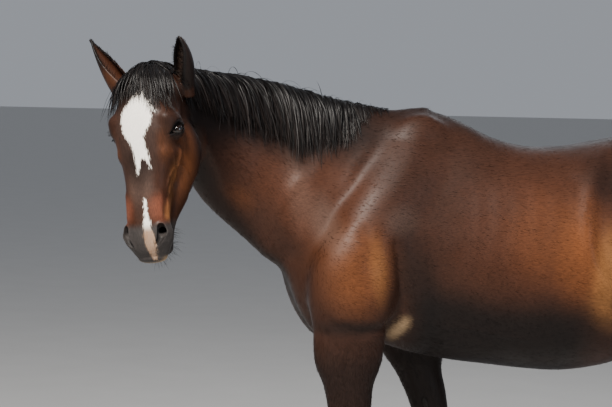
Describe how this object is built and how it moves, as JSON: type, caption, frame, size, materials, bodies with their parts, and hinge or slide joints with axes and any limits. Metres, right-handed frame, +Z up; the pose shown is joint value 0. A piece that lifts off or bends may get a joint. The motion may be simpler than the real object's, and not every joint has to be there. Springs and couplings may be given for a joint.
{
  "type": "horse",
  "caption": "Life-size standing dark bay horse with its head turned to its left, black mane and tail and a white blaze, as a still model.",
  "frame": {"origin": "centre of the bounding box's foot, on the floor under the belly", "axes": "+X towards the tail, +Y towards the horse's right side, +Z up; the horse stands along -X and looks to its left"},
  "size_m": [2.4258, 0.7396, 1.792],
  "materials": {
    "coat": "short glossy dark bay coat",
    "dark_coat": "short black coat of the lower legs",
    "long_hair": "long black hair with a soft gloss",
    "hoof": "dark horn",
    "eye": "wet dark brown eye"
  },
  "bodies": {
    "root": {"trunk": "coat", "neck": "coat", "head": "coat", "ear_left": "coat", "ear_right": "coat", "eye_left": "eye", "eye_right": "eye", "mane": "long_hair", "forelock": "long_hair", "tail": "long_hair", "foreleg_left": "coat", "foreleg_left_cannon": "dark_coat", "foreleg_left_hoof": "hoof", "foreleg_right": "coat", "foreleg_right_cannon": "dark_coat", "foreleg_right_hoof": "hoof", "hindleg_left": "coat", "hindleg_left_cannon": "dark_coat", "hindleg_left_hoof": "hoof", "hindleg_right": "coat", "hindleg_right_cannon": "dark_coat", "hindleg_right_hoof": "hoof"}
  },
  "joints": []
}
